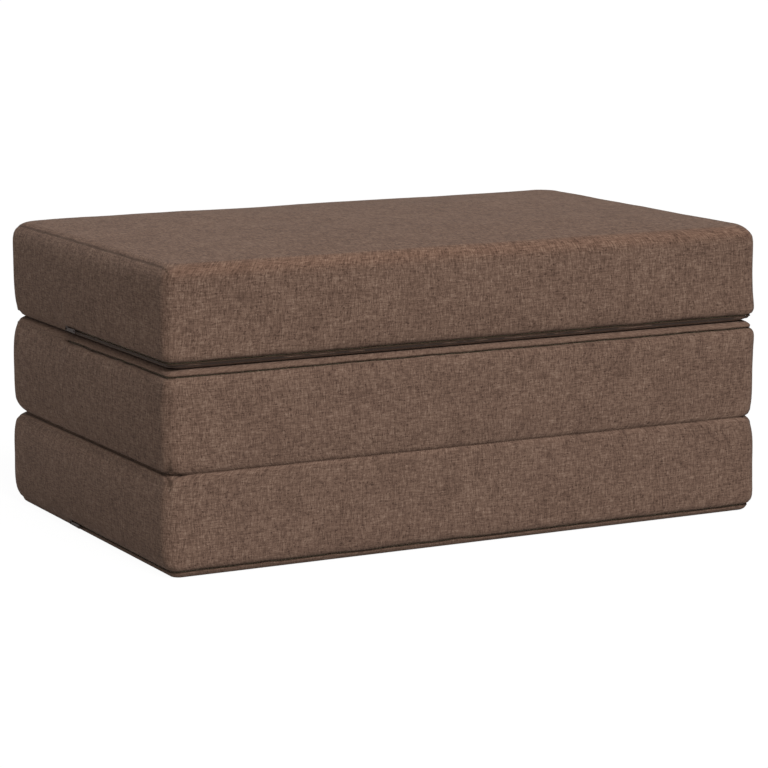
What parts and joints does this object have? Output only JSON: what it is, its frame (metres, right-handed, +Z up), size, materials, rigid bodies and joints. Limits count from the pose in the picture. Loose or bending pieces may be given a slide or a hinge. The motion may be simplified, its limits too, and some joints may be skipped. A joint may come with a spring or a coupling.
{
  "type": "sofa bed",
  "caption": "Folding foam sofa bed: equal fabric-covered sections stacked in a zigzag, which open out flat into a bed; each cover has a zip with a sliding, swinging pull.",
  "frame": {"origin": "middle of the underside of the lower section", "axes": "+X along the long front from its left end to its right end, +Y from the front to the rear, +Z up"},
  "size_m": [1.0002, 0.6332, 0.455],
  "materials": {
    "cover_fabric": "woven, matt",
    "foam": "open-cell foam",
    "zip_tape": "woven tape",
    "zip_coil": "nylon",
    "zip_metal": "dark plated"
  },
  "bodies": {
    "lower_section": {"lower_base_panel": "cover_fabric", "lower_foam_core": "foam", "lower_front_fold_strip": "cover_fabric", "lower_front_gusset": "cover_fabric", "lower_left_gusset": "cover_fabric", "lower_right_gusset": "cover_fabric", "lower_sleep_panel": "cover_fabric", "lower_zip_base_tape": "zip_tape", "lower_zip_coils": "zip_coil", "lower_zip_gusset_tape": "zip_tape", "lower_zip_stops": "zip_coil"},
    "lower_slider": {"lower_zip_slider": "zip_metal"},
    "lower_pull": {"lower_zip_pull": "zip_metal"},
    "middle_section": {"middle_base_panel": "cover_fabric", "middle_foam_core": "foam", "middle_front_fold_strip": "cover_fabric", "middle_front_gusset": "cover_fabric", "middle_left_gusset": "cover_fabric", "middle_rear_fold_strip": "cover_fabric", "middle_rear_gusset": "cover_fabric", "middle_right_gusset": "cover_fabric", "middle_sleep_panel": "cover_fabric", "middle_zip_base_tape": "zip_tape", "middle_zip_coils": "zip_coil", "middle_zip_gusset_tape": "zip_tape", "middle_zip_stops": "zip_coil"},
    "middle_slider": {"middle_zip_slider": "zip_metal"},
    "middle_pull": {"middle_zip_pull": "zip_metal"},
    "upper_section": {"upper_base_panel": "cover_fabric", "upper_foam_core": "foam", "upper_left_gusset": "cover_fabric", "upper_rear_fold_strip": "cover_fabric", "upper_rear_gusset": "cover_fabric", "upper_right_gusset": "cover_fabric", "upper_sleep_panel": "cover_fabric", "upper_zip_base_tape": "zip_tape", "upper_zip_coils": "zip_coil", "upper_zip_gusset_tape": "zip_tape", "upper_zip_stops": "zip_coil"},
    "upper_slider": {"upper_zip_slider": "zip_metal"},
    "upper_pull": {"upper_zip_pull": "zip_metal"}
  },
  "joints": [
    {"name": "front_fold", "type": "hinge", "parent": "lower_section", "child": "middle_section", "pos_m": [0, -0.31665, 0.14995], "axis": [1, 0, 0], "range_deg": [0, 180]},
    {"name": "rear_fold", "type": "hinge", "parent": "middle_section", "child": "upper_section", "pos_m": [0, 0.31665, 0.30005], "axis": [-1, 0, 0], "range_deg": [0, 180]},
    {"name": "lower_zip_slide", "type": "slide", "parent": "lower_section", "child": "lower_slider", "axis": [0, -1, 0], "range_m": [0, 0.36362]},
    {"name": "lower_pull_swing", "type": "hinge", "parent": "lower_slider", "child": "lower_pull", "pos_m": [-0.4979, 0.07162, 0.01], "axis": [0, 0, -1], "range_deg": [0, 180]},
    {"name": "middle_zip_slide", "type": "slide", "parent": "middle_section", "child": "middle_slider", "axis": [0, -1, 0], "range_m": [0, 0.36362]},
    {"name": "middle_pull_swing", "type": "hinge", "parent": "middle_slider", "child": "middle_pull", "pos_m": [0.4979, 0.07162, 0.2899], "axis": [0, 0, 1], "range_deg": [0, 180]},
    {"name": "upper_zip_slide", "type": "slide", "parent": "upper_section", "child": "upper_slider", "axis": [0, -1, 0], "range_m": [0, 0.36362]},
    {"name": "upper_pull_swing", "type": "hinge", "parent": "upper_slider", "child": "upper_pull", "pos_m": [-0.4979, 0.07162, 0.3102], "axis": [0, 0, -1], "range_deg": [0, 180]}
  ]
}
